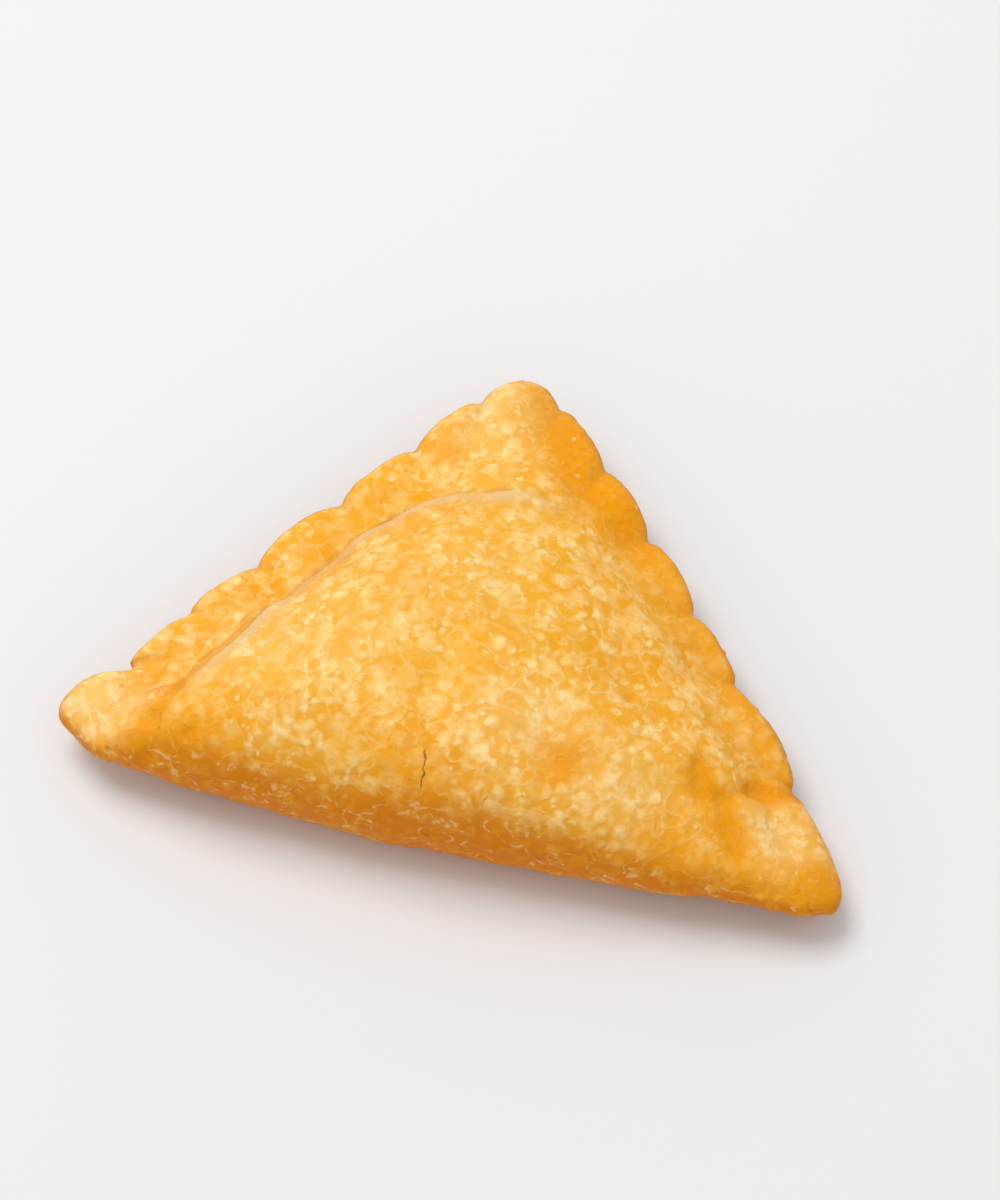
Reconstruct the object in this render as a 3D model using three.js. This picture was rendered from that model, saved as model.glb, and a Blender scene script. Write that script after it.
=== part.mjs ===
// A deep-fried samosa: a sheet of pastry folded over its filling along one straight side and pressed shut
// along the other two, where finger pinches leave a row of rounded lobes. It lies on its fuller side.
//
// Millimetres, +Z up. The folded side runs along X at the front (-Y) and the apex points to the back (+Y).
// The origin is the middle of the plan, on the surface that the samosa rests on.

import * as THREE from "three";

// The plan: a triangle with rounded corners and slightly bowed sides.
const FOLD_LENGTH = 107.6;
const DEPTH = 65.1;
const APEX_OFFSET = -5.3; // from the middle of the fold, along X
const CORNER_POWER = 7.1; // higher gives tighter corners
const BOW = { fold: 3.1, right: 1.6, left: 0.9 };
const BOW_POWER = 2;

// The pressed edge and its pinches, which are placed by their distance along the edge from the left corner.
const SEAM = { right: 5.0, left: 8.4 };
const PRESSED_WIDTH = (SEAM.right + SEAM.left) / 2;
const SEAM_WANDER = 0.6;
const FILLET = { right: 3.0, left: 1.2 }; // where the filled part rises out of the edge
const EDGE_HALF_THICKNESS = 1.55;
const EDGE_ROUNDING = 1.9;
const DROOP = { right: 1.8, left: 0.9 }; // how far each edge hangs below its seam
const PINCHES = [10.3, 21.7, 31.9, 46.3, 58.5, 69.2, 81.2, 91.7, 103.4, 115.5, 126.5, 143.3];
const PINCH_NOTCH = 1.7; // into the outline
const DEEPER_BY_NUB = { left: 4.4, right: 2.2 }; // as shares of the plain notch
const DEEPER_REACH = { left: 14, right: 18 };
const PINCH_DIP = 0.6; // into the top and the underside
const PINCH_WIDTH = 1.8;
const LOBE_RISE = 0.4;
const LOBE_SWAY = 0.4; // how far neighbouring lobes stand above and below each other
const CORNER_LOBE_OVERRUN = 6; // past the corner, onto the fold

// How the plan is pulled out of its even shape: around a place, over a reach and by a shift.
const BENDS = [
  { around: new THREE.Vector2(53.8, 0), reach: 13.8, shift: new THREE.Vector2(-1.7, -1.4) },
  { around: new THREE.Vector2(-50.5, -1.2), reach: 4.4, shift: new THREE.Vector2(1.0, 1.5) },
  { around: new THREE.Vector2(-46.2, 8.2), reach: 4.2, shift: new THREE.Vector2(-0.4, 0.9) },
  { around: new THREE.Vector2(-42.5, 13.5), reach: 4.5, shift: new THREE.Vector2(0.8, -0.6) },
  { around: new THREE.Vector2(35.9, 21.0), reach: 6, shift: new THREE.Vector2(0.4, 0.4) },
  { around: new THREE.Vector2(-30, -4), reach: 18, shift: new THREE.Vector2(0, -1.2) },
  { around: new THREE.Vector2(23.5, -4), reach: 12.5, shift: new THREE.Vector2(0, -1.5) },
];

// The filled part: how high it stands over the pressed edge, and how steeply it rises from each side.
const TOP_HEIGHT = 10;
const UNDER_HEIGHT = 7.5;
const STEEPNESS = { fold: 0.62, right: 1.12, left: 0.67 }; // lower is steeper
const UNDER_EASE = 1.15; // how much more gently the underside leaves the edge than the top does
const FULLNESS = 0.6;
const END_CUT = 0.1; // rounds off the filled part towards the corners
const END_REACH = 24;

// How far each corner stands up from the level of the edge, and how much thicker it is there.
const CORNER_LIFT = { left: -0.6, right: -1.6, apex: 1.4 };
const CORNER_THICKENING = { left: 0.9, right: 1.1, apex: 0.25 };

// The flat that the samosa rests on.
const REST_CUT = 1.3;
const REST_BLEND = 0.35;

// Low lumps of the filling under the pastry: wavelength, heading in degrees, phase and height.
const LUMPS = [
  { wavelength: 31, heading: 33, phase: 0.4, height: 0.3 },
  { wavelength: 26, heading: 123, phase: 1.9, height: 0.26 },
  { wavelength: 18, heading: -27, phase: 2.7, height: 0.2 },
  { wavelength: 16.5, heading: 75, phase: 0.9, height: 0.18 },
  { wavelength: 12, heading: 27, phase: 4.1, height: 0.12 },
];

// Shallow hollows in the filled part, each along a line in plan, measured from the middle of the fold.
const HOLLOWS = [
  { from: [-4.4, 19], to: [-3.6, 2], width: 2.4, depth: 0.3 },
  { from: [22, 16], to: [15, 27], width: 4, depth: 0.4 },
  { from: [-30, 8], to: [-26, 14], width: 5, depth: 0.3 },
  { from: [9.5, 6.6], to: [15, 5.2], width: 2.4, depth: 0.5 },
];

// The mesh: points in each lobe and along the fold, and rings from the outline in to the middle.
const POINTS_PER_LOBE = 10;
const POINTS_ON_FOLD = 60;
const RINGS = 22;
const RING_CROWDING = 1.6; // towards the outline
const OUTLINE_STEPS = 4000;

// ---- plan ----

const LEFT = new THREE.Vector2(-FOLD_LENGTH / 2, 0);
const RIGHT = new THREE.Vector2(FOLD_LENGTH / 2, 0);
const APEX = new THREE.Vector2(APEX_OFFSET, DEPTH);

const RIGHT_LEG = RIGHT.distanceTo(APEX);
const LEFT_LEG = LEFT.distanceTo(APEX);
const AROUND = FOLD_LENGTH + RIGHT_LEG + LEFT_LEG;
const DOUBLE_AREA = FOLD_LENGTH * DEPTH;
const INRADIUS = DOUBLE_AREA / AROUND;
const MIDDLE = new THREE.Vector2()
  .addScaledVector(LEFT, RIGHT_LEG / AROUND)
  .addScaledVector(RIGHT, LEFT_LEG / AROUND)
  .addScaledVector(APEX, FOLD_LENGTH / AROUND);

// The three sides go anticlockwise, each with its outward normal and the triangle's height over it.
function makeSide(from, to, values) {
  const along = to.clone().sub(from).normalize();
  const normal = new THREE.Vector2(along.y, -along.x);
  return { normal, height: DOUBLE_AREA / from.distanceTo(to), ...values };
}

const SIDES = [
  makeSide(LEFT, RIGHT, { seam: 0, fillet: 0, droop: 0, bow: BOW.fold, steepness: STEEPNESS.fold }),
  makeSide(RIGHT, APEX, {
    seam: SEAM.right, fillet: FILLET.right, droop: DROOP.right, bow: BOW.right, steepness: STEEPNESS.right,
  }),
  makeSide(APEX, LEFT, {
    seam: SEAM.left, fillet: FILLET.left, droop: DROOP.left, bow: BOW.left, steepness: STEEPNESS.left,
  }),
];

// 0 up to a, 1 from b on, and smooth in between.
function smooth(a, b, value) {
  return THREE.MathUtils.smoothstep(value, a, b);
}

// 0 up to -reach, the value itself from reach on, and smooth in between.
function eased(value, reach) {
  return value < reach ? Math.max(0, value + reach) ** 2 / (4 * reach) : value;
}

// 1 at a place in plan, and fading out around it.
function near(x, y, place, reach) {
  return Math.exp(-((x - place.x) ** 2 + (y - place.y) ** 2) / reach ** 2);
}

// A value given at each corner, fading out around them.
function aroundCorners(x, y, values, reach) {
  return values.left * near(x, y, LEFT, reach)
    + values.right * near(x, y, RIGHT, reach)
    + values.apex * near(x, y, APEX, reach);
}

// The distance of the plain outline from the middle, before any pinch.
function outlineRadius(theta) {
  let sum = 0;
  let bow = 0;
  for (const side of SIDES) {
    const facing = Math.max(0, Math.cos(theta) * side.normal.x + Math.sin(theta) * side.normal.y);
    sum += (facing / INRADIUS) ** CORNER_POWER;
    bow += side.bow * facing ** BOW_POWER;
  }
  return sum ** (-1 / CORNER_POWER) + bow;
}

function bearing(corner) {
  return Math.atan2(corner.y - MIDDLE.y, corner.x - MIDDLE.x);
}

// The way around the outline, clockwise from the left corner: the length walked at each even step of angle.
const START = bearing(LEFT) + 2 * Math.PI;
const WALKED = [0];
for (let step = 1; step <= OUTLINE_STEPS; step += 1) {
  const before = START - ((step - 1) / OUTLINE_STEPS) * 2 * Math.PI;
  const after = START - (step / OUTLINE_STEPS) * 2 * Math.PI;
  const from = new THREE.Vector2(Math.cos(before), Math.sin(before)).multiplyScalar(outlineRadius(before));
  const to = new THREE.Vector2(Math.cos(after), Math.sin(after)).multiplyScalar(outlineRadius(after));
  WALKED.push(WALKED[step - 1] + from.distanceTo(to));
}
const OUTLINE_LENGTH = WALKED[OUTLINE_STEPS];

function walkedAt(theta) {
  const step = ((START - theta) / (2 * Math.PI)) * OUTLINE_STEPS;
  const whole = Math.floor(step);
  return THREE.MathUtils.lerp(WALKED[whole], WALKED[whole + 1], step - whole);
}

function thetaAt(walked) {
  const length = THREE.MathUtils.euclideanModulo(walked, OUTLINE_LENGTH);
  let low = 0;
  let high = OUTLINE_STEPS;
  while (high - low > 1) {
    const half = Math.floor((low + high) / 2);
    if (WALKED[half] <= length) low = half;
    else high = half;
  }
  const share = (length - WALKED[low]) / (WALKED[high] - WALKED[low]);
  return START - ((low + share) / OUTLINE_STEPS) * 2 * Math.PI;
}

// ---- pressed edge ----

const RIGHT_CORNER_WALKED = walkedAt(bearing(RIGHT));
const LOBE_ENDS = [-CORNER_LOBE_OVERRUN, ...PINCHES, RIGHT_CORNER_WALKED + CORNER_LOBE_OVERRUN];

// The lobe at a place on the outline, the share of it that is behind, and how much of a pressed edge it is.
function lobeAt(walked) {
  const past = walked > (OUTLINE_LENGTH + RIGHT_CORNER_WALKED) / 2;
  const along = past ? walked - OUTLINE_LENGTH : walked;
  let number = 0;
  while (number < LOBE_ENDS.length - 2 && along >= LOBE_ENDS[number + 1]) number += 1;
  const width = LOBE_ENDS[number + 1] - LOBE_ENDS[number];
  const share = THREE.MathUtils.clamp((along - LOBE_ENDS[number]) / width, 0, 1);
  const pressed = smooth(-CORNER_LOBE_OVERRUN, 2, along)
    * (1 - smooth(RIGHT_CORNER_WALKED - 2, RIGHT_CORNER_WALKED + CORNER_LOBE_OVERRUN, along));
  return { share, width, pressed, sway: Math.sin(number * 2.4 + 0.7) };
}

// How far a pinch draws the outline in. Pinches beside the corner lobes are deeper.
function notchAt(lobe, theta) {
  const radius = outlineRadius(theta);
  const x = MIDDLE.x + radius * Math.cos(theta);
  const y = MIDDLE.y + radius * Math.sin(theta);
  const deeper = 1
    + DEEPER_BY_NUB.left * near(x, y, LEFT, DEEPER_REACH.left)
    + DEEPER_BY_NUB.right * near(x, y, RIGHT, DEEPER_REACH.right);
  const lobeArc = Math.sqrt(4 * lobe.share * (1 - lobe.share));
  return PINCH_NOTCH * deeper * (1 - lobeArc) * Math.min(lobe.width / 12, 1.15) * lobe.pressed;
}

// ---- filled part ----

// How far a place in plan is inside a side's seam line, and how far along the side from the middle.
function measure(side, x, y) {
  const out = (x - MIDDLE.x) * side.normal.x + (y - MIDDLE.y) * side.normal.y;
  const along = (x - MIDDLE.x) * side.normal.y - (y - MIDDLE.y) * side.normal.x;
  const bow = side.bow * Math.max(0, 1 - (along / (FOLD_LENGTH / 2)) ** 2);
  return { straight: INRADIUS + bow - side.seam - out, along };
}

// How far the pressed edges hang below their seams at a place in plan.
function droopAt(x, y) {
  let droop = 0;
  for (const side of SIDES.filter((candidate) => candidate.droop > 0)) {
    droop += side.droop * smooth(-side.seam, side.seam, -measure(side, x, y).straight);
  }
  return droop;
}

// How full the samosa is at a place in plan: 0 from the seam outwards, 1 at its fullest.
function fillingAt(x, y) {
  const steepnessSum = SIDES.reduce((sum, side) => sum + side.steepness, 0);
  const betweenSeams = SIDES.reduce((left, side) => left - side.seam / side.height, 1);
  let filling = 1;
  for (const side of SIDES) {
    const { straight, along } = measure(side, x, y);
    let inside = Math.max(0, straight);
    if (side.seam > 0) {
      const wave = Math.sin(0.34 * along + side.normal.x) + 0.6 * Math.sin(0.77 * along + 1);
      const wander = SEAM_WANDER * wave * Math.exp(-inside / 6);
      inside = eased(straight - wander, side.fillet);
    }
    filling *= (inside / side.height / betweenSeams / (side.steepness / steepnessSum)) ** side.steepness;
  }
  const cut = aroundCorners(x, y, { left: END_CUT, right: END_CUT, apex: END_CUT }, END_REACH);
  const kept = Math.max(0, (filling - cut) / (1 - cut));
  return (1 - Math.exp(-FULLNESS * kept)) / (1 - Math.exp(-FULLNESS));
}

function distanceToLine(x, y, [fromX, fromY], [toX, toY]) {
  const alongX = toX - fromX;
  const alongY = toY - fromY;
  const share = ((x - fromX) * alongX + (y - fromY) * alongY) / (alongX ** 2 + alongY ** 2);
  const kept = THREE.MathUtils.clamp(share, 0, 1);
  return Math.hypot(x - fromX - kept * alongX, y - fromY - kept * alongY);
}

// The lumps and hollows of the top.
function reliefAt(x, y) {
  let relief = 0;
  for (const { wavelength, heading, phase, height } of LUMPS) {
    const angle = THREE.MathUtils.degToRad(heading);
    const along = x * Math.cos(angle) + y * Math.sin(angle);
    relief += height * Math.sin((2 * Math.PI * along) / wavelength + phase);
  }
  for (const { from, to, width, depth } of HOLLOWS) {
    relief -= depth * Math.exp(-((distanceToLine(x, y, from, to) / width) ** 2));
  }
  return relief;
}

// ---- surface ----

// The place in plan, and the heights of the top and the underside there. `walked` goes around the outline,
// and `share` is 1 on the outline and 0 in the middle. The underside is pressed flat where it would go below
// the surface that the samosa rests on.
function surfaceAt(walked, share) {
  const theta = thetaAt(walked);
  const lobe = lobeAt(walked);
  const radius = outlineRadius(theta) - notchAt(lobe, theta) * smooth(0.5, 1, share);
  const place = new THREE.Vector2(Math.cos(theta), Math.sin(theta)).multiplyScalar(share * radius).add(MIDDLE);
  for (const { around, reach, shift } of BENDS) {
    place.addScaledVector(shift, near(place.x, place.y, around, reach));
  }
  const { x, y } = place;

  const inwards = (1 - share) * INRADIUS;
  const filling = fillingAt(x, y);
  const thicker = 1 + aroundCorners(x, y, CORNER_THICKENING, 20);
  const rim = Math.sqrt(1 - (1 - Math.min(1, inwards / (EDGE_ROUNDING * thicker))) ** 2);
  const pressed = lobe.pressed * (1 - smooth(0.7 * PRESSED_WIDTH, 1.25 * PRESSED_WIDTH, inwards));
  const crown = Math.sin(Math.PI * lobe.share) ** 2;
  const toPinch = Math.min(lobe.share, 1 - lobe.share) * lobe.width;
  const dip = PINCH_DIP * Math.exp(-((toPinch / (PINCH_WIDTH + 0.12 * inwards)) ** 2))
    * (1 - smooth(0, 0.9 * PRESSED_WIDTH, inwards));
  const puff = (LOBE_RISE * (1 + 0.4 * lobe.sway) * (crown - 0.5) - dip) * pressed * rim;

  const level = UNDER_HEIGHT + EDGE_HALF_THICKNESS - REST_CUT - droopAt(x, y)
    + LOBE_SWAY * lobe.sway * pressed * crown
    + aroundCorners(x, y, CORNER_LIFT, 29);
  const half = EDGE_HALF_THICKNESS * rim * thicker;
  const top = level + half + puff + TOP_HEIGHT * filling + reliefAt(x, y) * smooth(0, 0.7, filling);
  const under = level - half + 0.4 * dip * pressed * rim - UNDER_HEIGHT * filling ** UNDER_EASE;
  return { x, y, top, under: eased(under - REST_BLEND, REST_BLEND) };
}

// ---- mesh ----

// The places of the outline's points, with one on each pinch and the rest evenly between.
function outlinePlaces() {
  const places = [];
  for (let lobe = 0; lobe + 1 < LOBE_ENDS.length; lobe += 1) {
    for (let point = 0; point < POINTS_PER_LOBE; point += 1) {
      places.push(THREE.MathUtils.lerp(LOBE_ENDS[lobe], LOBE_ENDS[lobe + 1], point / POINTS_PER_LOBE));
    }
  }
  const foldStart = LOBE_ENDS[LOBE_ENDS.length - 1];
  const foldEnd = OUTLINE_LENGTH + LOBE_ENDS[0];
  for (let point = 0; point < POINTS_ON_FOLD; point += 1) {
    places.push(THREE.MathUtils.lerp(foldStart, foldEnd, point / POINTS_ON_FOLD));
  }
  places.push(foldEnd);
  return places;
}

// The ring of a given share, with fewer points the smaller it is.
function ringPlaces(outline, share) {
  const count = Math.max(10, Math.round((outline.length - 1) * share));
  const places = [];
  for (let point = 0; point < count; point += 1) {
    const at = (point / count) * (outline.length - 1);
    const whole = Math.floor(at);
    places.push(THREE.MathUtils.lerp(outline[whole], outline[whole + 1], at - whole));
  }
  return places;
}

// Triangles between a ring and the next one in, whatever the number of points in each. The rings go clockwise
// seen from above, and the innermost one is a single point.
function stitch(outer, inner, faceUp) {
  const innerSteps = inner.length > 1 ? inner.length : 0;
  const triangles = [];
  let a = 0;
  let b = 0;
  while (a < outer.length || b < innerSteps) {
    const outerHere = outer[a % outer.length];
    const innerHere = inner[b % inner.length];
    const stepOuter = (a + 1) / outer.length <= (b + 1) / innerSteps;
    if (stepOuter) a += 1;
    else b += 1;
    const next = stepOuter ? outer[a % outer.length] : inner[b % inner.length];
    triangles.push(faceUp ? [outerHere, innerHere, next] : [outerHere, next, innerHere]);
  }
  return triangles;
}

function pastryGeometry() {
  const positions = [];
  const indices = [];
  const addPoint = (x, y, z) => positions.push(x, y, z) / 3 - 1;

  const outline = outlinePlaces();
  let outerTop = null;
  let outerUnder = null;
  for (let ring = 0; ring < RINGS; ring += 1) {
    const share = 1 - (ring / RINGS) ** RING_CROWDING;
    const points = ringPlaces(outline, share).map((place) => surfaceAt(place, share));
    const top = points.map((point) => addPoint(point.x, point.y, point.top));
    const under = ring === 0 ? top : points.map((point) => addPoint(point.x, point.y, point.under));
    if (ring > 0) {
      indices.push(...stitch(outerTop, top, true).flat());
      indices.push(...stitch(outerUnder, under, false).flat());
    }
    outerTop = top;
    outerUnder = under;
  }
  const middle = surfaceAt(0, 0);
  indices.push(...stitch(outerTop, [addPoint(middle.x, middle.y, middle.top)], true).flat());
  indices.push(...stitch(outerUnder, [addPoint(middle.x, middle.y, middle.under)], false).flat());

  const geometry = new THREE.BufferGeometry();
  geometry.setAttribute("position", new THREE.Float32BufferAttribute(positions, 3));
  geometry.setIndex(indices);
  geometry.computeBoundingBox();
  const centre = geometry.boundingBox.getCenter(new THREE.Vector3());
  geometry.translate(-centre.x, -centre.y, 0);
  geometry.computeVertexNormals();
  return geometry;
}

const crust = new THREE.MeshStandardMaterial({ color: 0xf2b85a, roughness: 0.45, metalness: 0 });
const pastry = new THREE.Mesh(pastryGeometry(), crust);
pastry.name = "pastry";

const samosa = new THREE.Group();
samosa.name = "samosa";
samosa.add(pastry);

export default samosa;
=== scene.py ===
"""A deep-fried samosa on a plain pale floor. Everything is in metres, in the frame of the CAD model.

The samosa is one closed mesh. Its form is the CAD solid's, worked out from the same sizes at a finer step,
and the small relief of fried pastry is laid over it.
"""

import math

import bmesh
import bpy
import numpy as np
from mathutils import Matrix, Vector, noise


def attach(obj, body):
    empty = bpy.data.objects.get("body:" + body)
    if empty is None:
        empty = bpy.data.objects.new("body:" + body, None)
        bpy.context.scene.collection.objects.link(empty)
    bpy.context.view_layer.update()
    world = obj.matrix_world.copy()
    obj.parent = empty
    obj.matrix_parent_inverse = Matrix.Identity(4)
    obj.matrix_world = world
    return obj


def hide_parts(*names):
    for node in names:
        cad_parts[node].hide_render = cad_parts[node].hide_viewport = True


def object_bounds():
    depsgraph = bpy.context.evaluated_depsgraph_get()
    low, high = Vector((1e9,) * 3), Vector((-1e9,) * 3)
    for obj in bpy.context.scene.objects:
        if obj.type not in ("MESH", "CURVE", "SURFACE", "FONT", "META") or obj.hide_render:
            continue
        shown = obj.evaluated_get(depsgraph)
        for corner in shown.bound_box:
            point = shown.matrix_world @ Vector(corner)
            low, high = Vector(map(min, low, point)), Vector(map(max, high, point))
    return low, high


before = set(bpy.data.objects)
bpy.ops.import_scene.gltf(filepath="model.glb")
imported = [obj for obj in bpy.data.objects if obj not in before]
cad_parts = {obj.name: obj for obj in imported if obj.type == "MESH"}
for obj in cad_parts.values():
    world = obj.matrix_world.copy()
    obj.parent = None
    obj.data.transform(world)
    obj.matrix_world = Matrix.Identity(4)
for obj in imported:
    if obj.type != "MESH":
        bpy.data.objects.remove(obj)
cad_low, cad_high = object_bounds()

MM = 0.001

# The plan: a triangle with rounded corners and slightly bowed sides.
FOLD_LENGTH = 0.1076
DEPTH = 0.0651
APEX_OFFSET = -0.0053  # from the middle of the fold, along X
CORNER_POWER = 7.1  # higher gives tighter corners
BOW_FOLD = 0.0031
BOW_RIGHT = 0.0016
BOW_LEFT = 0.0009
BOW_POWER = 2

# The pressed edge. Pinches are placed by their distance along it from the left corner.
SEAM_RIGHT = 0.0050
SEAM_LEFT = 0.0084
SEAM_WANDER = 0.0006
SEAM_WAVES = (340, 770)  # in radians for each metre along the edge
SEAM_WANDER_FADE = 0.006  # inwards
FILLET_RIGHT = 0.0030  # where the filled part rises out of the edge
FILLET_LEFT = 0.0012
EDGE_HALF_THICKNESS = 0.00155
EDGE_ROUNDING = 0.0019
DROOP_RIGHT = 0.0018  # how far the edge hangs below its seam
DROOP_LEFT = 0.0009
PINCHES = MM * np.array([10.3, 21.7, 31.9, 46.3, 58.5, 69.2, 81.2, 91.7, 103.4, 115.5, 126.5, 143.3])
PINCH_NOTCH = 0.0017  # into the outline, beside a lobe of the usual width
USUAL_LOBE = 0.012
MOST_NOTCH = 1.15  # beside the widest lobes, as a share of the plain notch
DEEPER_BY_NUB = (4.4, 2.2)  # by the left and the right corner, as shares of the plain notch
DEEPER_REACH = (0.014, 0.018)
PINCH_DIP = 0.0006  # into the top
UNDER_DIP = 0.4  # the share of it that the underside rises
PINCH_WIDTH = 0.0018
PINCH_SPREAD = 0.12  # how much wider for each metre inwards
LOBE_RISE = 0.0004
LOBE_SWAY = 0.0004  # how far neighbouring lobes stand above and below each other
CORNER_LOBE_OVERRUN = 0.006  # past the corner, onto the fold

# How the plan is pulled out of its even shape: around a place, over a reach and by a shift.
BENDS = (
    ((0.0538, 0.0), 0.0138, (-0.0017, -0.0014)),
    ((-0.0505, -0.0012), 0.0044, (0.0010, 0.0015)),
    ((-0.0462, 0.0082), 0.0042, (-0.0004, 0.0009)),
    ((-0.0425, 0.0135), 0.0045, (0.0008, -0.0006)),
    ((0.0359, 0.0210), 0.0060, (0.0004, 0.0004)),
    ((-0.0300, -0.0040), 0.0180, (0.0, -0.0012)),
    ((0.0235, -0.0040), 0.0125, (0.0, -0.0015)),
)

# The filled part: how high it stands over the pressed edge, and how steeply it rises from each side.
TOP_HEIGHT = 0.0100
UNDER_HEIGHT = 0.0075
STEEP_FOLD = 0.62  # lower is steeper
STEEP_RIGHT = 1.12
STEEP_LEFT = 0.67
UNDER_EASE = 1.15  # how much more gently the underside leaves the edge than the top does
FULLNESS = 0.6  # higher gives a flatter top
END_CUT = 0.10  # rounds off the filled part towards the corners
END_REACH = 0.024

# The flat that the samosa rests on.
REST_CUT = 0.0013
REST_BLEND = 0.00035

# How far the left corner, the right corner and the apex stand up, and how much thicker they are.
CORNER_LIFT = (-0.0006, -0.0016, 0.0014)
CORNER_LIFT_REACH = 0.029
CORNER_THICKENING = (0.9, 1.1, 0.25)
CORNER_THICKENING_REACH = 0.020

# Low lumps of the filling: wavelength, heading in degrees, phase and height.
LUMPS = (
    (0.031, 33, 0.4, 0.00030),
    (0.026, 123, 1.9, 0.00026),
    (0.018, -27, 2.7, 0.00020),
    (0.0165, 75, 0.9, 0.00018),
    (0.012, 27, 4.1, 0.00012),
)

# Shallow hollows: start, end, width and depth.
HOLLOWS = (
    ((-0.0044, 0.019), (-0.0036, 0.002), 0.0024, 0.0003),
    ((0.022, 0.016), (0.015, 0.027), 0.0040, 0.0004),
    ((-0.030, 0.008), (-0.026, 0.014), 0.0050, 0.0003),
    ((0.0095, 0.0066), (0.0150, 0.0052), 0.0024, 0.0005),
)

# Small dents and grooves: start, end, width and depth.
DENTS = (
    ((-0.0324, 0.0006), (-0.0323, 0.0009), 0.0007, 0.00045),
    ((0.0179, 0.0173), (0.0181, 0.0176), 0.0007, 0.00035),
    ((0.0280, 0.0121), (0.0288, 0.0083), 0.0013, 0.00050),
    ((-0.0356, 0.0070), (-0.0377, 0.0026), 0.0013, 0.00090),
    ((-0.0377, 0.0026), (-0.0365, -0.0012), 0.0013, 0.00070),
    ((0.0314, 0.0088), (0.0345, 0.0124), 0.0011, 0.00050),
    ((0.0345, 0.0124), (0.0388, 0.0136), 0.0011, 0.00060),
    ((0.0314, 0.0088), (0.0345, 0.0025), 0.0015, 0.00045),
)
CRACK = ((-0.0036, 0.0030), (-0.0030, -0.0009))

# The line where the filled part meets the left edge and rounds the apex.
SEAM_LINE = (
    (-0.0360, 0.0056),
    (-0.0330, 0.0092),
    (-0.0291, 0.0164),
    (-0.0257, 0.0245),
    (-0.0214, 0.0315),
    (-0.0157, 0.0383),
    (-0.0110, 0.0411),
    (-0.0065, 0.0417),
    (-0.0014, 0.0434),
    (0.0030, 0.0426),
    (0.0058, 0.0398),
)
SEAM_LINE_STEPS = 12

# Its raised ridge and the crease outside it: how far out from the line, half width, and height or depth.
SEAM_RIDGE = (-0.0008, 0.0011, 0.00026)
SEAM_CREASE = (0.0006, 0.00035, 0.00026)
SEAM_UNEVENNESS = (0.0040, 8)  # wavelength and seed
CREASE_UNEVENNESS = (0.0030, 7)

# The crust's low relief: wavelength, seed and height.
SWELLS = (
    (0.0075, 1, 0.00013),
    (0.0032, 2, 0.00012),
    (0.0015, 3, 0.00006),
)
BLISTERS = (
    (0.0028, 4, 0.00015),
    (0.0017, 5, 0.00009),
)
FOLD_DIMPLES = (0.0024, 6, 0.00030)

# The wrinkles along the right side: their noises are given by wavelength and seed.
WRINKLE_SPACING = 0.0030
WRINKLE_HEIGHT = 0.00011
WRINKLE_MIDDLE = -0.012  # along the side
WRINKLE_SWERVES = (0.007, 11)
WRINKLE_BREAKS = (0.005, 12)

# Where the crust is a deeper amber, partly as painted shade under the nubs, in grooves and along the
# fold's bottom, and where it is paler, partly as painted light on the nubs' tops: place, reach and
# strength.
DEEP_AMBER_AND_SHADE_PATCHES = (
    ((0.0013, 0.0538), 0.0035, 0.6),
    ((0.0047, 0.0485), 0.0040, 0.7),
    ((0.0110, 0.0440), 0.0040, 0.6),
    ((-0.0320, -0.0012), 0.0050, 1.0),
    ((-0.0400, -0.0015), 0.0040, 0.9),
    ((0.0284, 0.0102), 0.0026, 0.9),
    ((0.0331, 0.0054), 0.0026, 0.8),
    ((0.0370, -0.0007), 0.0045, 0.8),
    ((0.0440, 0.0000), 0.0038, 0.9),
    ((0.0466, 0.0026), 0.0038, 1.0),
    ((0.0360, 0.0125), 0.0022, 0.8),
    ((0.0125, 0.0062), 0.0032, 0.9),
    ((-0.0034, -0.0030), 0.0060, 0.6),
    ((0.0265, 0.0000), 0.0050, 0.8),
    ((-0.0058, 0.0040), 0.0045, 0.35),
)
# paler crust, partly painted light on the nubs' tops
PALE_AND_LIT_PATCHES = (
    ((-0.0448, 0.0052), 0.0046, 1.0),
    ((-0.0405, 0.0030), 0.0044, 1.0),
    ((0.0375, 0.0078), 0.0040, 0.8),
    ((0.0410, 0.0046), 0.0044, 0.8),
    ((-0.0081, 0.0559), 0.0070, 0.8),
    ((-0.0258, 0.0133), 0.0080, 0.35),
    ((-0.0144, 0.0143), 0.0080, 0.25),
    ((0.0189, 0.0083), 0.0045, 0.45),
    ((0.0228, 0.0018), 0.0040, 0.4),
    ((0.0172, 0.0032), 0.0030, 0.4),
    ((0.0041, 0.0080), 0.0060, 0.5),
    ((0.0105, 0.0100), 0.0055, 0.4),
    ((-0.0050, 0.0280), 0.0070, 0.35),
)

# Amber along the pressed edges, partly painted shade where the right edge hangs away from the light: its
# strength on the right, and in the left edge's lobes how far in from the outline it is strongest, its half
# width and its strength.
RIGHT_AMBER_AND_SHADE = 0.8
LOBE_AMBER_AND_SHADE = (0.0048, 0.0020, 0.35)
DENT_SHADE_DEPTH = 0.0008  # the depth of a dent that is fully amber, as painted shade in the dent

# Crumbs of pastry stuck to the edge: where they start and end along the outline, and how many.
CRUMB_ROWS = ((0.118, 0.137, 16), (0.166, 0.205, 22), (0.205, 0.240, 12))
CRUMB_SIZES = (0.00030, 0.00055)
CRUMB_SHARES = (0.975, 0.998)  # of the way from the middle to the outline
CRUMB_SEED = 11

# The mesh.
OUTLINE_STEPS = 4000
POINTS_AROUND = 900
RINGS = 84
RING_CROWDING = 1.3  # towards the outline
VOXEL = 0.00036
SMOOTHING_ROUNDS = 3

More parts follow.
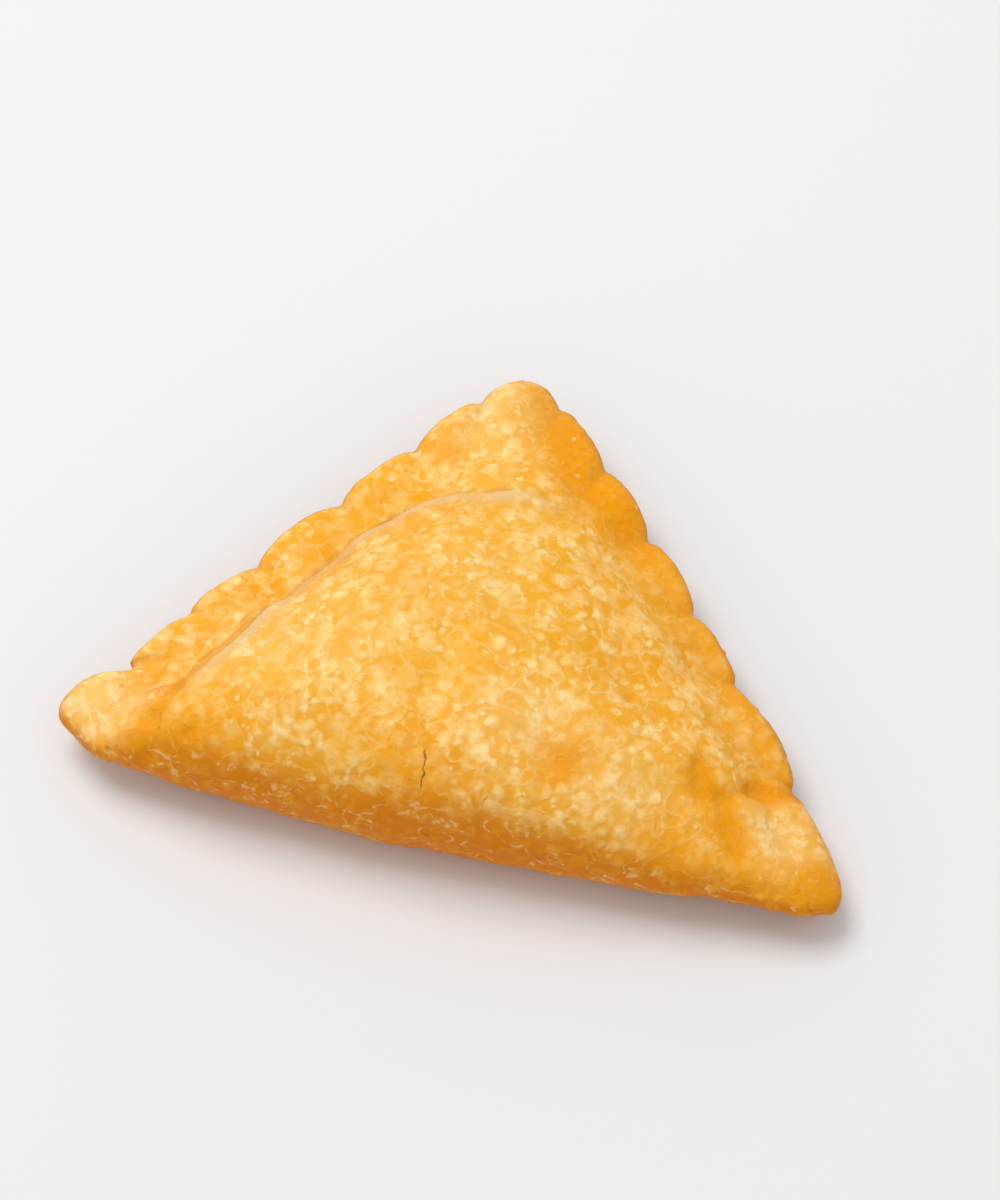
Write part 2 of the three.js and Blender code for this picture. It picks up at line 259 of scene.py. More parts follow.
# The camera: its angles in degrees, its lens, and how much of the picture's width the samosa takes.
VIEW_AZIMUTH = 14.0
VIEW_ELEVATION = 60.5
LENS = 0.180
SENSOR_WIDTH = 0.036
FRAME_ASPECT = 1000 / 1200
FRAME_FILL = 0.80

# The light.
KEY_FROM = Vector((-0.40, 0.24, 1.0))  # from the middle of the samosa
KEY_SIZE = 0.70
KEY_POWER = 6.4
SKY_STRENGTH = 0.66
FLOOR_REACH = 3.0


# ---- the form ----

LEFT = np.array([-FOLD_LENGTH / 2, 0.0])
RIGHT = np.array([FOLD_LENGTH / 2, 0.0])
APEX = np.array([APEX_OFFSET, DEPTH])
RIGHT_LEG = np.linalg.norm(RIGHT - APEX)
LEFT_LEG = np.linalg.norm(LEFT - APEX)
AROUND = FOLD_LENGTH + RIGHT_LEG + LEFT_LEG
INRADIUS = FOLD_LENGTH * DEPTH / AROUND
MIDDLE = (RIGHT_LEG * LEFT + LEFT_LEG * RIGHT + FOLD_LENGTH * APEX) / AROUND


class Side:
    """A side of the plan, with its outward normal and the triangle's height over it."""

    def __init__(self, start, end, seam, fillet, droop, bow, steepness):
        along = (end - start) / np.linalg.norm(end - start)
        self.normal = np.array([along[1], -along[0]])
        self.height = FOLD_LENGTH * DEPTH / np.linalg.norm(end - start)
        self.seam = seam
        self.fillet = fillet
        self.droop = droop
        self.bow = bow
        self.steepness = steepness

    def measure(self, x, y):
        """How far a place is inside the seam line, and how far along the side from the middle."""
        out = (x - MIDDLE[0]) * self.normal[0] + (y - MIDDLE[1]) * self.normal[1]
        along = (x - MIDDLE[0]) * self.normal[1] - (y - MIDDLE[1]) * self.normal[0]
        bow = self.bow * np.maximum(0, 1 - (along / (FOLD_LENGTH / 2)) ** 2)
        return INRADIUS + bow - self.seam - out, along


FOLD_SIDE = Side(LEFT, RIGHT, 0.0, 0.0, 0.0, BOW_FOLD, STEEP_FOLD)
RIGHT_SIDE = Side(RIGHT, APEX, SEAM_RIGHT, FILLET_RIGHT, DROOP_RIGHT, BOW_RIGHT, STEEP_RIGHT)
LEFT_SIDE = Side(APEX, LEFT, SEAM_LEFT, FILLET_LEFT, DROOP_LEFT, BOW_LEFT, STEEP_LEFT)
SIDES = (FOLD_SIDE, RIGHT_SIDE, LEFT_SIDE)
PRESSED_WIDTH = (SEAM_RIGHT + SEAM_LEFT) / 2


def smooth(low, high, value):
    """0 up to low, 1 from high on, and smooth in between."""
    share = np.clip((value - low) / (high - low), 0, 1)
    return share * share * (3 - 2 * share)


def eased(value, reach):
    """0 up to -reach, value from reach on, and smooth in between."""
    curve = np.maximum(0, value + reach) ** 2 / (4 * reach)
    return np.where(value < reach, curve, value)


def near(x, y, place, reach):
    """1 at a place in plan, fading out around it."""
    return np.exp(-((x - place[0]) ** 2 + (y - place[1]) ** 2) / reach**2)


def around_corners(x, y, values, reach):
    """A value given at each corner, fading out around them."""
    corners = (LEFT, RIGHT, APEX)
    return sum(value * near(x, y, corner, reach) for value, corner in zip(values, corners))


def outline_radius(theta):
    """The distance of the plain outline from the middle, before any pinch."""
    total = 0
    bow = 0
    for side in SIDES:
        facing = np.maximum(0, np.cos(theta) * side.normal[0] + np.sin(theta) * side.normal[1])
        total = total + (facing / INRADIUS) ** CORNER_POWER
        bow = bow + side.bow * facing**BOW_POWER
    return total ** (-1 / CORNER_POWER) + bow


def bearing(place):
    return math.atan2(place[1] - MIDDLE[1], place[0] - MIDDLE[0])


START = bearing(LEFT) + 2 * math.pi
STEP_TURNS = np.linspace(0, 2 * math.pi, OUTLINE_STEPS + 1)
STEP_X = outline_radius(START - STEP_TURNS) * np.cos(START - STEP_TURNS)
STEP_Y = outline_radius(START - STEP_TURNS) * np.sin(START - STEP_TURNS)
WALKED = np.concatenate([[0], np.cumsum(np.hypot(np.diff(STEP_X), np.diff(STEP_Y)))])
OUTLINE_LENGTH = WALKED[-1]


def theta_at(walked):
    """The bearing of a place on the outline, clockwise from the left corner."""
    return START - np.interp(np.mod(walked, OUTLINE_LENGTH), WALKED, STEP_TURNS)


def walked_at(theta):
    return np.interp(np.mod(START - theta, 2 * math.pi), STEP_TURNS, WALKED)


RIGHT_CORNER = walked_at(bearing(RIGHT))
LOBE_ENDS = np.concatenate([[-CORNER_LOBE_OVERRUN], PINCHES, [RIGHT_CORNER + CORNER_LOBE_OVERRUN]])


def lobe_at(walked):
    """The share of its lobe behind a place, the lobe's width and sway, and how pressed it is."""
    along = np.where(walked > (OUTLINE_LENGTH + RIGHT_CORNER) / 2, walked - OUTLINE_LENGTH, walked)
    number = np.clip(np.searchsorted(LOBE_ENDS, along, side="right") - 1, 0, len(LOBE_ENDS) - 2)
    width = LOBE_ENDS[number + 1] - LOBE_ENDS[number]
    share = np.clip((along - LOBE_ENDS[number]) / width, 0, 1)
    pressed = smooth(-CORNER_LOBE_OVERRUN, 0.002, along)
    pressed = pressed * (1 - smooth(RIGHT_CORNER - 0.002, RIGHT_CORNER + CORNER_LOBE_OVERRUN, along))
    return share, width, np.sin(number * 2.4 + 0.7), pressed


def notch_at(walked, theta):
    """How far a pinch draws the outline in."""
    share, width, _, pressed = lobe_at(walked)
    x = MIDDLE[0] + outline_radius(theta) * np.cos(theta)
    y = MIDDLE[1] + outline_radius(theta) * np.sin(theta)
    deeper = 1 + DEEPER_BY_NUB[0] * near(x, y, LEFT, DEEPER_REACH[0])
    deeper = deeper + DEEPER_BY_NUB[1] * near(x, y, RIGHT, DEEPER_REACH[1])
    arc = np.sqrt(4 * share * (1 - share))
    return PINCH_NOTCH * deeper * (1 - arc) * np.minimum(width / USUAL_LOBE, MOST_NOTCH) * pressed


def filling_at(x, y):
    """How full the samosa is at a place in plan: 0 from the seam outwards, 1 at its fullest."""
    steepness_sum = sum(side.steepness for side in SIDES)
    between_seams = 1 - sum(side.seam / side.height for side in SIDES)
    filling = 1.0
    for side in SIDES:
        straight, along = side.measure(x, y)
        inside = np.maximum(0, straight)
        if side.seam:
            wave = np.sin(SEAM_WAVES[0] * along + side.normal[0])
            wave = wave + 0.6 * np.sin(SEAM_WAVES[1] * along + 1)
            wander = SEAM_WANDER * wave * np.exp(-inside / SEAM_WANDER_FADE)
            inside = eased(straight - wander, side.fillet)
        part = inside / side.height / between_seams / (side.steepness / steepness_sum)
        filling = filling * part**side.steepness
    cut = around_corners(x, y, (END_CUT, END_CUT, END_CUT), END_REACH)
    kept = np.maximum(0, (filling - cut) / (1 - cut))
    return (1 - np.exp(-FULLNESS * kept)) / (1 - math.exp(-FULLNESS))


def droop_at(x, y):
    """How far the pressed edges hang below their seams."""
    droop = 0
    for side in (RIGHT_SIDE, LEFT_SIDE):
        straight, _ = side.measure(x, y)
        droop = droop + side.droop * smooth(-side.seam, side.seam, -straight)
    return droop


def distance_to_line(x, y, start, end):
    along = np.array(end) - np.array(start)
    share = ((x - start[0]) * along[0] + (y - start[1]) * along[1]) / (along @ along)
    kept = np.clip(share, 0, 1)
    return np.hypot(x - start[0] - kept * along[0], y - start[1] - kept * along[1])


def relief_at(x, y):
    """The lumps and hollows of the top."""
    relief = 0
    for wavelength, heading, phase, height in LUMPS:
        angle = math.radians(heading)
        along = x * math.cos(angle) + y * math.sin(angle)
        relief = relief + height * np.sin(2 * math.pi * along / wavelength + phase)
    for start, end, width, depth in HOLLOWS:
        relief = relief - depth * np.exp(-((distance_to_line(x, y, start, end) / width) ** 2))
    return relief


def place_at(walked, share):
    """The place in plan, with share 0 in the middle and 1 on the outline."""
    theta = theta_at(walked)
    radius = outline_radius(theta) - notch_at(walked, theta) * smooth(0.5, 1, share)
    x = MIDDLE[0] + share * radius * np.cos(theta)
    y = MIDDLE[1] + share * radius * np.sin(theta)
    for place, reach, shift in BENDS:
        bend = near(x, y, place, reach)
        x = x + shift[0] * bend
        y = y + shift[1] * bend
    return x, y


def dip_at(lobe_share, lobe_width, inwards):
    """How far a pinch presses the edge down."""
    to_pinch = np.minimum(lobe_share, 1 - lobe_share) * lobe_width
    dip = PINCH_DIP * np.exp(-((to_pinch / (PINCH_WIDTH + PINCH_SPREAD * inwards)) ** 2))
    return dip * (1 - smooth(0, 0.9 * PRESSED_WIDTH, inwards))


def surface(walked, share):
    """The place in plan and the heights of the top and the underside.

    The underside is pressed flat where it would go below the floor.
    """
    x, y = place_at(walked, share)
    inwards = (1 - share) * INRADIUS
    filling = filling_at(x, y)
    thicker = 1 + around_corners(x, y, CORNER_THICKENING, CORNER_THICKENING_REACH)
    rim = np.sqrt(1 - (1 - np.minimum(1, inwards / (EDGE_ROUNDING * thicker))) ** 2)
    lobe_share, lobe_width, sway, on_edge = lobe_at(walked)
    pressed = on_edge * (1 - smooth(0.7 * PRESSED_WIDTH, 1.25 * PRESSED_WIDTH, inwards))
    crown = np.sin(math.pi * lobe_share) ** 2
    dip = dip_at(lobe_share, lobe_width, inwards)
    puff = (LOBE_RISE * (1 + 0.4 * sway) * (crown - 0.5) - dip) * pressed * rim

    level = UNDER_HEIGHT + EDGE_HALF_THICKNESS - REST_CUT - droop_at(x, y)
    level = level + LOBE_SWAY * sway * pressed * crown
    level = level + around_corners(x, y, CORNER_LIFT, CORNER_LIFT_REACH)
    half = EDGE_HALF_THICKNESS * rim * thicker
    top = level + half + puff + TOP_HEIGHT * filling + relief_at(x, y) * smooth(0, 0.7, filling)
    under = level - half + UNDER_DIP * dip * pressed * rim - UNDER_HEIGHT * filling**UNDER_EASE
    return x, y, top, eased(under - REST_BLEND, REST_BLEND)


def add_crumbs(mesh):
    """Small grains half sunk into the edge, which evened() then joins to the crust."""
    draw = np.random.default_rng(CRUMB_SEED)
    for start, end, count in CRUMB_ROWS:
        for _ in range(count):
            x, y, top, under = surface(draw.uniform(start, end), draw.uniform(*CRUMB_SHARES))
            place = Vector((x, y, under + (top - under) * draw.uniform(0, 1)))
            size = draw.uniform(*CRUMB_SIZES)
            moved = Matrix.Translation(place)
            bmesh.ops.create_icosphere(mesh, subdivisions=2, radius=size, matrix=moved)


def form_mesh():
    """The form as rings of points, out over the underside to the outline and in over the top."""
    walked = np.linspace(0, OUTLINE_LENGTH, POINTS_AROUND, endpoint=False)
    share = 1 - (np.arange(RINGS) / RINGS) ** RING_CROWDING
    x, y, top, under = surface(*np.meshgrid(walked, share))
    top_points = np.stack([x, y, top], -1)
    under_points = np.stack([x, y, under], -1)[1:]
    rings = np.concatenate([under_points[::-1], top_points])

    mesh = bmesh.new()
    made = [[mesh.verts.new(point) for point in ring] for ring in rings]
    for ring, next_ring in zip(made, made[1:]):
        for index in range(POINTS_AROUND):
            after = (index + 1) % POINTS_AROUND
            mesh.faces.new((ring[after], ring[index], next_ring[index], next_ring[after]))
    mesh.faces.new(made[0])
    mesh.faces.new(made[-1][::-1])
    add_crumbs(mesh)
    bmesh.ops.recalc_face_normals(mesh, faces=mesh.faces)
    data = bpy.data.meshes.new("samosa_crust")
    mesh.to_mesh(data)
    mesh.free()
    return data


def evened(data):
    """The same form in small even faces."""
    rough = bpy.data.objects.new("rough", data)
    bpy.context.scene.collection.objects.link(rough)
    remesh = rough.modifiers.new("even", "REMESH")
    remesh.mode = "VOXEL"
    remesh.voxel_size = VOXEL
    remesh.adaptivity = 0
    relax = rough.modifiers.new("relax", "SMOOTH")
    relax.factor = 0.5
    relax.iterations = SMOOTHING_ROUNDS
    graph = bpy.context.evaluated_depsgraph_get()
    even = bpy.data.meshes.new_from_object(rough.evaluated_get(graph))
    bpy.data.objects.remove(rough)
    return even


def points_of(data):
    points = np.empty(len(data.vertices) * 3)
    data.vertices.foreach_get("co", points)
    return points.reshape(-1, 3)


def normals_of(data):
    normals = np.empty(len(data.vertices) * 3)
    data.vertex_normals.foreach_get("vector", normals)
    return normals.reshape(-1, 3)


def set_points(data, points):
    data.vertices.foreach_set("co", points.ravel())
    data.update()


# ---- the relief of fried pastry ----

def field(points, wavelength, seed):
    """Smooth noise of about 1 either way."""
    offset = Vector((seed * 3.7, seed * 1.3, seed * 7.1))
    return np.array([noise.noise(Vector(point) / wavelength + offset) for point in points])


def blisters(points, spacing, seed):
    """Round blisters up to 1 high, on some of the places of a loose scatter."""
    offset = Vector((seed * 2.3, seed * 5.9, seed * 1.7))
    heights = []
    for point in points:
        distances, centres = noise.voronoi(Vector(point) / spacing + offset)
        size = 0.22 + 0.3 * noise.cell(centres[0] * 7)
        heights.append(max(0, 1 - (distances[0] / size) ** 2))
    return np.array(heights)


def place_on_edge(points):
    """Where each point lies along the outline, and how far in from it."""
    x = points[:, 0] - MIDDLE[0]
    y = points[:, 1] - MIDDLE[1]
    theta = np.arctan2(y, x)
    walked = walked_at(theta)
    radius = outline_radius(theta) - notch_at(walked, theta)
    return walked, np.maximum(0, 1 - np.hypot(x, y) / radius) * INRADIUS


def curve_through(places):
    """A smooth curve through the places, as closely spaced points."""
    ends = np.array([places[0], *places, places[-1]])
    share = np.linspace(0, 1, SEAM_LINE_STEPS, endpoint=False)[:, None]
    pieces = []
    for before, start, end, after in zip(ends, ends[1:], ends[2:], ends[3:]):
        bend = 2 * before - 5 * start + 4 * end - after
        twist = 3 * (start - end) + after - before
        pieces.append(start + 0.5 * share * (end - before + share * (bend + share * twist)))
    return np.concatenate([*pieces, [places[-1]]])


def seam_line(points, normals):
    """How strong the seam's ridge and the crease outside it are at each point."""
    curve = curve_through(SEAM_LINE)
    offsets = points[:, None, :2] - curve[None]
    distances = np.hypot(offsets[..., 0], offsets[..., 1])
    nearest = distances.argmin(1)
    outside = ((points[:, :2] - curve[nearest]) * LEFT_SIDE.normal).sum(1) > 0
    outwards = np.where(outside, distances.min(1), -distances.min(1))
    strength = smooth(0.0, 0.2, nearest / len(curve)) * (1 - smooth(0.75, 1.0, nearest / len(curve)))
    strength = strength * smooth(0.0, 0.3, normals[:, 2])
    strength = strength * (0.75 + 0.5 * field(points, *SEAM_UNEVENNESS))
    ridge = np.exp(-(((outwards - SEAM_RIDGE[0]) / SEAM_RIDGE[1]) ** 2)) * strength
    crease = np.exp(-(((outwards - SEAM_CREASE[0]) / SEAM_CREASE[1]) ** 2)) * strength
    return ridge, crease


def wrinkles(points):
    """Fine folds along the right leg, where the pastry was drawn towards the pinches."""
    straight, along = RIGHT_SIDE.measure(points[:, 0], points[:, 1])
    band = smooth(-0.004, 0.000, straight) * (1 - smooth(0.006, 0.013, straight))
    run = smooth(-0.026, -0.010, -np.abs(along - WRINKLE_MIDDLE))
    swerve = 6 * field(points, *WRINKLE_SWERVES)
    wave = np.sin(straight * 2 * math.pi / WRINKLE_SPACING + swerve)
    broken = smooth(0.0, 0.5, field(points, *WRINKLE_BREAKS))
    return wave * band * run * broken


def fold_dimples(points, normals):
    """Small bumps and creases across the folded side."""
    wavelength, seed, height = FOLD_DIMPLES
    across = points * np.array([1.0, 0.4, 0.4])
    return height * field(across, wavelength, seed) * smooth(0.25, 0.75, -normals[:, 1])


def dents(points):
    sunk = 0
    for start, end, width, depth in DENTS:
        distance = distance_to_line(points[:, 0], points[:, 1], start, end)
        sunk = sunk + depth * np.exp(-((distance / width) ** 2))
    return sunk


def pastry_relief(points, normals):
    upper = smooth(0.0, 0.4, normals[:, 2])
    rise = 0
    for wavelength, seed, height in SWELLS:
        rise = rise + height * field(points, wavelength, seed)
    for spacing, seed, height in BLISTERS:
        rise = rise + height * blisters(points, spacing, seed)
    rise = rise + WRINKLE_HEIGHT * wrinkles(points) * upper
    ridge, crease = seam_line(points, normals)
    rise = rise + SEAM_RIDGE[2] * ridge - SEAM_CREASE[2] * crease
    rise = rise + fold_dimples(points, normals)
    return rise - dents(points) * upper


# ---- the patches of colour, painted shade and painted light ----

def patches_at(points, patches):
    x, y = points[:, 0], points[:, 1]
    return sum(strength * near(x, y, place, reach) for place, reach, strength in patches)


def deep_amber_and_shade(points, walked, inwards):
    """Deeper amber, partly painted shade: on the right edge, in the left edge's lobes, in the dents and in
    some patches.
    """
    from_right, _ = RIGHT_SIDE.measure(points[:, 0], points[:, 1])
    from_left, _ = LEFT_SIDE.measure(points[:, 0], points[:, 1])
    share, _, _, on_edge = lobe_at(walked)
    right_edge = smooth(-0.005, 0.003, -from_right) * smooth(0.0, 0.006, from_left + SEAM_LEFT)
    right_edge = right_edge * (1 - 0.85 * near(points[:, 0], points[:, 1], RIGHT, 0.034))
    middle, half_width, strength = LOBE_AMBER_AND_SHADE
    lobes = np.sin(math.pi * share) ** 2 * np.exp(-(((inwards - middle) / half_width) ** 2))
    lobes = strength * lobes * on_edge * smooth(0.0, 0.004, from_right)
    edges = RIGHT_AMBER_AND_SHADE * right_edge + lobes
    return edges + patches_at(points, DEEP_AMBER_AND_SHADE_PATCHES) + dents(points) / DENT_SHADE_DEPTH


def add_mask(data, name, values):
    layer = data.attributes.new(name, "FLOAT", "POINT")
    layer.data.foreach_set("value", np.clip(values, 0, 1).astype(np.float32))


def add_place(data, points):
    """Each point's place in millimetres from the middle of the fold, for the material."""
    layer = data.attributes.new("place", "FLOAT_VECTOR", "POINT")
    layer.data.foreach_set("vector", (points / MM).astype(np.float32).ravel())


def add_masks(data, points, normals):
    walked, inwards = place_on_edge(points)
    share, width, _, on_edge = lobe_at(walked)
    to_pinch = np.minimum(share, 1 - share) * width
    add_place(data, points)
    add_mask(data, "rim", on_edge * (1 - smooth(0.0001, 0.0008, inwards)))
    ridge, crease = seam_line(points, normals)
    # seam: the pale band on the ridge's upward face, partly paler dough and partly painted sheen
    add_mask(data, "seam", ridge * smooth(0.25, 0.65, normals[:, 2]))
    # crease: painted shadow outside the seam's ridge
    add_mask(data, "crease", crease * (0.5 + 0.5 * field(points, *CREASE_UNEVENNESS)))
    pinch = on_edge * np.exp(-((to_pinch / 0.0010) ** 2))
    add_mask(data, "pinch", pinch * (1 - smooth(0.001, 0.004, inwards)))
    # deeper amber, and painted shade in dents, grooves, under the nubs and along the drooping right edge
    add_mask(data, "deep_and_shade", deep_amber_and_shade(points, walked, inwards))
    # pale: paler patches, partly painted light, on upward faces only
    add_mask(data, "pale", patches_at(points, PALE_AND_LIT_PATCHES) * smooth(0.2, 0.8, normals[:, 2]))
    # painted shade: the faces that turn downwards, mostly the folded side, get the SHADED colour
    add_mask(data, "under", 1 - smooth(0.10, 0.84, normals[:, 2]))


def make_samosa():
    """The samosa, with its middle in plan where the CAD solid's is."""
    data = evened(form_mesh())
    points = points_of(data)
    normals = normals_of(data)
    add_masks(data, points, normals)
    points += normals * pastry_relief(points, normals)[:, None]
    low, high = points.min(0), points.max(0)
    points[:, 0] -= (low[0] + high[0]) / 2 - (cad_low.x + cad_high.x) / 2
    points[:, 1] -= (low[1] + high[1]) / 2 - (cad_low.y + cad_high.y) / 2
    points[:, 2] = np.maximum(points[:, 2], 0)
    set_points(data, points)
    data.shade_smooth()

    samosa = bpy.data.objects.new("samosa_crust", data)
    bpy.context.scene.collection.objects.link(samosa)
    data.materials.append(crust_material())
    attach(samosa, "root")
    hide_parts("pastry")
    return samosa


# ---- materials ----

class Tree:
    """A material's node tree, with short ways to add and join its nodes."""

    def __init__(self, name):
        self.material = bpy.data.materials.new(name)
        self.material.use_nodes = True
        self.nodes = self.material.node_tree.nodes
        self.links = self.material.node_tree.links
        self.shader = self.nodes["Principled BSDF"]

    def add(self, kind, inputs=None, **settings):
        node = self.nodes.new("ShaderNode" + kind)
        for name, value in settings.items():
            setattr(node, name, value)
        for name, value in (inputs or {}).items():
            self.put(node, name, value)
        return node

    def put(self, node, name, value):
        if isinstance(value, bpy.types.NodeSocket):
            self.links.new(value, node.inputs[name])
        else:
            node.inputs[name].default_value = value

    def math(self, operation, first, second=0.0):
        return self.add("Math", {0: first, 1: second}, operation=operation).outputs[0]

    def span(self, value, low, high, to_low=0.0, to_high=1.0):
        """value from low to high, made smooth from to_low to to_high."""
        inputs = {"Value": value, "From Min": low, "From Max": high, "To Min": to_low, "To Max": to_high}
        return self.add("MapRange", inputs, interpolation_type="SMOOTHSTEP").outputs["Result"]

    def mix(self, share, first, second):
        node = self.add("Mix", data_type="RGBA")
        self.put(node, "Factor", share)
        self.put(node, 6, first)
        self.put(node, 7, second)
        return node.outputs[2]

    def noise(self, place, scale, detail=2.0):
        return self.add("TexNoise", {"Vector": place, "Scale": scale, "Detail": detail}).outputs["Fac"]

    def mask(self, name):
        return self.add("Attribute", attribute_name=name).outputs["Fac"]


AMBER = (0.86, 0.372, 0.012, 1)
GOLD = (0.88, 0.415, 0.024, 1)
CREAM = (0.98, 0.69, 0.27, 1)
# deeper amber, also used as painted shade in dents, grooves, under the nubs and on the drooping right edge
DEEP_AMBER_AND_SHADE = (0.84, 0.30, 0.003, 1)
SHADED = (0.72, 0.203, 0.0003, 1)
# the marks' colour in the deeper amber and in the painted shade
HONEY_IN_DEEP_AND_SHADE = (0.86, 0.395, 0.012, 1)
# the palest marks, partly painted light
PALEST_AND_LIT = (0.98, 0.74, 0.37, 1)
# brown of the rim, pits and crack, and painted shadow in the crease
BROWN_AND_SHADOW = (0.40, 0.13, 0.015, 1)
# the seam's pale band, partly painted sheen
SEAM_PALE_AND_SHEEN = (0.76, 0.52, 0.28, 1)
# painted glints and specks
PAINTED_GLINT = (0.98, 0.80, 0.48, 1)

BUMP_DEPTH = 0.00018


def cells_of(tree, place, scale):
    """Each cell's distance from its centre and two random values of its own."""
    cells = tree.add("TexVoronoi", {"Vector": place, "Scale": scale, "Randomness": 1.0})
    chance = tree.add("SeparateColor", {0: cells.outputs["Color"]})
    return cells.outputs["Distance"], chance.outputs[0], chance.outputs[1]


def blister_tops(tree, place, scale, rarity):
    """Soft round blotches where blisters dried pale."""
    distance, chance, size = cells_of(tree, place, scale)
    reach = tree.span(size, 0.0, 1.0, 0.35, 0.75)
    blotch = tree.span(tree.math("DIVIDE", distance, reach), 1.0, 0.25)
    return tree.math("MULTIPLY", blotch, tree.span(chance, rarity, rarity + 0.3))


def blister_rims(tree, place, scale, half_width):
    """Rims of round blisters, a chance of one in each cell."""
    distance, size, chance = cells_of(tree, place, scale)
    radius = tree.span(size, 0.0, 1.0, 0.18, 0.44)
    from_rim = tree.math("ABSOLUTE", tree.math("SUBTRACT", distance, radius))
    rim = tree.span(from_rim, half_width, 0.1 * half_width)
    return tree.math("MULTIPLY", rim, tree.span(chance, 0.45, 0.60))


def strokes_of(tree, place, scale, levels):
    """Thin winding strokes along the levels of a noise."""
    level = tree.math("PINGPONG", tree.math("MULTIPLY", tree.noise(place, scale, 1.0), levels), 0.5)
    return tree.span(level, 0.22, 0.02)


def crust_marks(tree, place):
    """The pale marks of the blistered crust, and painted glints on some of them, from 0 to 1."""
    swirl = tree.add("TexNoise", {"Vector": place, "Scale": 0.6, "Detail": 2.0}).outputs["Color"]
    offset = tree.add("VectorMath", {0: swirl, "Scale": 1.3}, operation="SCALE").outputs[0]
    warped = tree.add("VectorMath", {0: place, 1: offset}, operation="ADD").outputs[0]
    rims = blister_rims(tree, warped, 0.33, 0.26)
    strokes = strokes_of(tree, warped, 0.30, 4.0)
    marks = (
        (blister_tops(tree, warped, 0.40, 0.15), 0.90),
        (blister_tops(tree, warped, 0.72, 0.25), 0.90),
        (rims, 0.50),
        (strokes, 0.40),
    )
    bare = 1.0
    for mark, strength in marks:
        left = tree.math("SUBTRACT", 1.0, tree.math("MULTIPLY", mark, strength))
        bare = tree.math("MULTIPLY", bare, left)
    clusters = tree.span(tree.noise(place, 0.17, 2.0), 0.34, 0.64, 0.60, 1.20)
    broken = tree.span(tree.noise(place, 1.0, 2.0), 0.32, 0.62, 0.50, 1.05)
    patchy = tree.math("MULTIPLY", clusters, broken)
    mottle = tree.math("MULTIPLY", tree.math("SUBTRACT", 1.0, bare), patchy)
    lines = tree.math("MAXIMUM", rims, strokes)
    # painted glints along some rims and strokes
    glints = tree.span(tree.math("MULTIPLY", lines, tree.noise(place, 1.2, 2.0)), 0.46, 0.60)
    return mottle, glints


def crack_mask(tree, place):
    """A thin winding split by the fold, on the top only. Its sizes here are in millimetres."""
    x, y, z = tree.add("SeparateXYZ", {0: place}).outputs
    start, end = (np.array(point) / MM for point in CRACK)
    bend = tree.math("MULTIPLY", tree.math("SUBTRACT", tree.noise(place, 0.7, 3.0), 0.5), 2.2)
    slope = (end[0] - start[0]) / (end[1] - start[1])
    straight_x = tree.math("ADD", tree.math("MULTIPLY", y, slope), start[0] - slope * start[1])
    aside = tree.math("ABSOLUTE", tree.math("SUBTRACT", tree.math("ADD", x, bend), straight_x))
    line = tree.span(aside, 0.13, 0.03)
    line = tree.math("MULTIPLY", line, tree.span(y, start[1], start[1] - 0.4))
    line = tree.math("MULTIPLY", line, tree.span(y, end[1], end[1] + 0.4))
    return tree.math("MULTIPLY", line, tree.span(z, 12.0, 13.0))


def crust_pits(tree, place):
    """Fine pits, in some of the cells of a scatter."""
    distance, chance, _ = cells_of(tree, place, 0.17)
    return tree.math("MULTIPLY", tree.span(distance, 0.09, 0.02), tree.span(chance, 0.60, 0.65))


def painted_glints(tree, place, glints):
    """Painted glints: bright specks, and glints on the marks, which are stronger on the fold."""
    distance, chance, _ = cells_of(tree, place, 0.5)
    glint_dots = tree.math("MULTIPLY", tree.span(distance, 0.20, 0.06), tree.span(chance, 0.78, 0.85))
    shine = tree.math("MULTIPLY", glints, tree.span(tree.mask("under"), 0.2, 0.8, 0.08, 0.32))
    return tree.math("MAXIMUM", tree.math("MULTIPLY", glint_dots, 0.5), shine)


def plain_crust(tree, place):
    """The crust's colour without its marks, with painted shade on the faces that turn downwards, mostly
    the folded side.
    """
    base = tree.mix(tree.span(tree.noise(place, 0.085, 3.0), 0.36, 0.62), AMBER, GOLD)
    base = tree.mix(tree.span(tree.noise(place, 0.45, 4.0), 0.36, 0.72, 0.0, 0.16), base, CREAM)
    # paler patches, partly painted light
    base = tree.mix(tree.math("MULTIPLY", tree.mask("pale"), 0.45), base, CREAM)
    # deeper amber and painted shade
    base = tree.mix(tree.math("MULTIPLY", tree.mask("deep_and_shade"), 0.8), base, DEEP_AMBER_AND_SHADE)
    # painted shade on the faces that turn downwards
    return tree.mix(tree.mask("under"), base, SHADED)


def marked_crust(tree, base, mottle):
    """The colour with its pale marks: faint and amber in the deeper amber and in the painted shade, strong
    in the pale patches and their painted light.
    """
    # painted shade and deeper amber make the marks faint and amber
    amber_and_shade = tree.math("MAXIMUM", tree.mask("under"), tree.mask("deep_and_shade"))
    mark = tree.mix(amber_and_shade, tree.mix(tree.mask("pale"), CREAM, PALEST_AND_LIT), HONEY_IN_DEEP_AND_SHADE)
    strength = tree.span(amber_and_shade, 0.1, 0.9, 0.90, 0.58)
    strength = tree.math("ADD", strength, tree.math("MULTIPLY", tree.mask("pale"), 0.3))
    return tree.mix(tree.math("MULTIPLY", mottle, strength), base, mark)


def darkened(tree, base, pits, crack):
    """The brown of the rim, pits and crack, the darker pinches, and painted shadow in the crease outside
    the seam.
    """
    shares = (
        # painted shadow in the crease
        (tree.mask("crease"), 0.75),
        (tree.mask("pinch"), 0.16),
        (tree.mask("rim"), 0.28),
        (pits, 0.35),
        (crack, 0.68),
    )
    for mask, share in shares:
        base = tree.mix(tree.math("MULTIPLY", mask, share), base, BROWN_AND_SHADOW)
    return base


